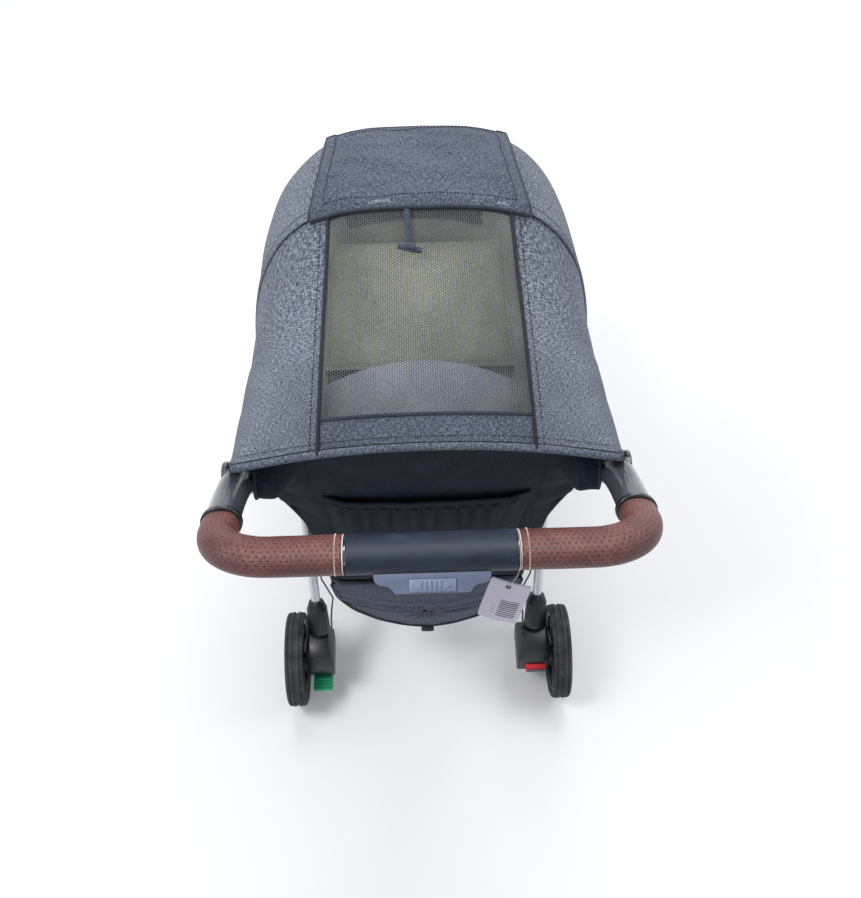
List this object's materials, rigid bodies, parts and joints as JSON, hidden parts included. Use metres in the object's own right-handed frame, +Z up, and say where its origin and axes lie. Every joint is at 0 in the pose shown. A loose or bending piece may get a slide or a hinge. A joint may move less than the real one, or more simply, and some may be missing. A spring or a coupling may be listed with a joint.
{
  "type": "pet stroller",
  "caption": "Folding pet stroller seen from behind: U handle with leather grips, two-bow canopy with mesh window, soft cabin, basket, rear brake pedals and swivel casters.",
  "frame": {"origin": "centre of the footprint on the floor under the wheels", "axes": "+Y is the direction of travel, +X is the pusher's right, +Z is up"},
  "size_m": [0.508, 0.9976, 1.0944],
  "materials": {
    "frame_dark": "satin",
    "frame_silver": "satin",
    "steel": "satin",
    "black_plastic": "matte",
    "arm_gloss": "gloss",
    "grey_blue_plastic": "satin",
    "leather_brown": "satin",
    "grip_navy": "satin",
    "canopy_fabric": "matte",
    "flap_fabric": "matte",
    "window_net": "matte",
    "shell_fabric": "matte",
    "basket_fabric": "matte",
    "pad_fabric": "matte",
    "cushion_fabric": "matte",
    "webbing": "matte",
    "board": "matte",
    "cable_sheath": "satin",
    "pedal_green": "satin",
    "pedal_red": "satin",
    "tyre_rubber": "matte",
    "tag_card": "matte",
    "string": "matte"
  },
  "bodies": {
    "chassis": {"side_tubes": "frame_dark", "hub_housings": "black_plastic", "handle_joint_housings": "black_plastic", "pivot_pins": "steel", "front_legs": "frame_silver", "front_crossbar": "black_plastic", "caster_sockets": "black_plastic", "canopy_brackets": "black_plastic", "cabin_shell": "shell_fabric", "cabin_base_board": "board", "cabin_pad": "pad_fabric", "rear_cushion": "cushion_fabric", "cabin_rim_bar": "frame_dark", "cabin_struts": "black_plastic", "rear_panel": "shell_fabric", "rear_pocket": "shell_fabric", "canopy_rear": "canopy_fabric", "window_mesh": "window_net", "basket": "basket_fabric", "basket_rim": "webbing", "basket_straps": "webbing", "basket_snap": "black_plastic"},
    "mid_bow": {"mid_bow": "black_plastic", "canopy_front": "canopy_fabric", "toggle_strap": "webbing", "toggle_bar": "webbing"},
    "front_bow": {"front_bow": "black_plastic"},
    "window_flap": {"window_flap": "flap_fabric"},
    "handle": {"handle_tube": "frame_silver", "arm_knuckles": "arm_gloss", "leather_sleeve_left": "leather_brown", "leather_sleeve_right": "leather_brown", "centre_grip": "grip_navy", "grip_collars": "black_plastic", "fold_housing": "grey_blue_plastic", "hang_tag": "tag_card", "tag_string": "string"},
    "fold_slider": {"fold_slider": "grey_blue_plastic"},
    "fold_trigger": {"fold_trigger": "black_plastic"},
    "rear_legs": {"rear_leg_tubes": "frame_silver", "leg_knuckles": "black_plastic", "leg_sleeves": "black_plastic", "brake_housing_left": "black_plastic", "brake_housing_right": "black_plastic", "rear_crossbar": "frame_silver", "brake_cable": "cable_sheath", "rear_axles": "steel"},
    "brake_pedal_green": {"brake_pedal_green": "pedal_green"},
    "brake_pedal_red": {"brake_pedal_red": "pedal_red"},
    "rear_wheel_left": {"rear_rim_left": "black_plastic", "rear_tyre_left": "tyre_rubber"},
    "rear_wheel_right": {"rear_rim_right": "black_plastic", "rear_tyre_right": "tyre_rubber"},
    "caster_left": {"caster_fork_left": "black_plastic"},
    "caster_right": {"caster_fork_right": "black_plastic"},
    "front_wheel_left": {"front_rim_left": "black_plastic", "front_tyre_left": "tyre_rubber"},
    "front_wheel_right": {"front_rim_right": "black_plastic", "front_tyre_right": "tyre_rubber"}
  },
  "joints": [
    {"name": "handle_fold", "type": "hinge", "parent": "chassis", "child": "handle", "pos_m": [0, -0.288, 0.872], "axis": [1, 0, 0], "range_deg": [0, 88]},
    {"name": "rear_leg_fold", "type": "hinge", "parent": "chassis", "child": "rear_legs", "pos_m": [0, 0.06, 0.5], "axis": [1, 0, 0], "range_deg": [0, 41.9]},
    {"name": "mid_bow_fold", "type": "hinge", "parent": "chassis", "child": "mid_bow", "pos_m": [0, -0.076, 0.654], "axis": [1, 0, 0], "range_deg": [0, 28], "deforming": ["canopy_rear", "window_mesh"]},
    {"name": "front_bow_fold", "type": "hinge", "parent": "mid_bow", "child": "front_bow", "pos_m": [0, -0.076, 0.654], "axis": [1, 0, 0], "range_deg": [0, 42], "deforming": ["canopy_front"]},
    {"name": "window_flap_fold", "type": "hinge", "parent": "mid_bow", "child": "window_flap", "pos_m": [0, -0.06, 1.0926], "axis": [1, 0, 0], "range_deg": [0, 178]},
    {"name": "fold_slider_slide", "type": "slide", "parent": "handle", "child": "fold_slider", "axis": [1, 0, 0], "range_m": [0, 0.008]},
    {"name": "fold_trigger_squeeze", "type": "slide", "parent": "handle", "child": "fold_trigger", "axis": [0, 0.597, 0.8022], "range_m": [0, 0.006], "stiffness_N_per_m": 400},
    {"name": "brake_pedal_green_press", "type": "hinge", "parent": "rear_legs", "child": "brake_pedal_green", "pos_m": [0, -0.207, 0.06], "axis": [1, 0, 0], "range_deg": [-14, 0]},
    {"name": "brake_pedal_red_press", "type": "hinge", "parent": "rear_legs", "child": "brake_pedal_red", "pos_m": [0, -0.2, 0.09], "axis": [1, 0, 0], "range_deg": [0, 14]},
    {"name": "rear_wheel_left_spin", "type": "hinge", "parent": "rear_legs", "child": "rear_wheel_left", "pos_m": [-0.232, -0.196, 0.083], "axis": [1, 0, 0], "continuous": true},
    {"name": "rear_wheel_right_spin", "type": "hinge", "parent": "rear_legs", "child": "rear_wheel_right", "pos_m": [0.232, -0.196, 0.083], "axis": [1, 0, 0], "continuous": true},
    {"name": "caster_left_swivel", "type": "hinge", "parent": "chassis", "child": "caster_left", "pos_m": [-0.172, 0.44, 0.17], "axis": [0, 0, 1], "continuous": true},
    {"name": "caster_right_swivel", "type": "hinge", "parent": "chassis", "child": "caster_right", "pos_m": [0.172, 0.44, 0.17], "axis": [0, 0, 1], "continuous": true},
    {"name": "front_wheel_left_spin", "type": "hinge", "parent": "caster_left", "child": "front_wheel_left", "pos_m": [-0.172, 0.412, 0.07], "axis": [1, 0, 0], "continuous": true},
    {"name": "front_wheel_right_spin", "type": "hinge", "parent": "caster_right", "child": "front_wheel_right", "pos_m": [0.172, 0.412, 0.07], "axis": [1, 0, 0], "continuous": true}
  ],
  "couplings": [
    {"joint": "rear_leg_fold", "follows": "handle_fold", "ratio": 0.476},
    {"joint": "front_bow_fold", "follows": "mid_bow_fold", "ratio": 1.5},
    {"joint": "brake_pedal_red_press", "follows": "brake_pedal_green_press", "ratio": -1}
  ]
}
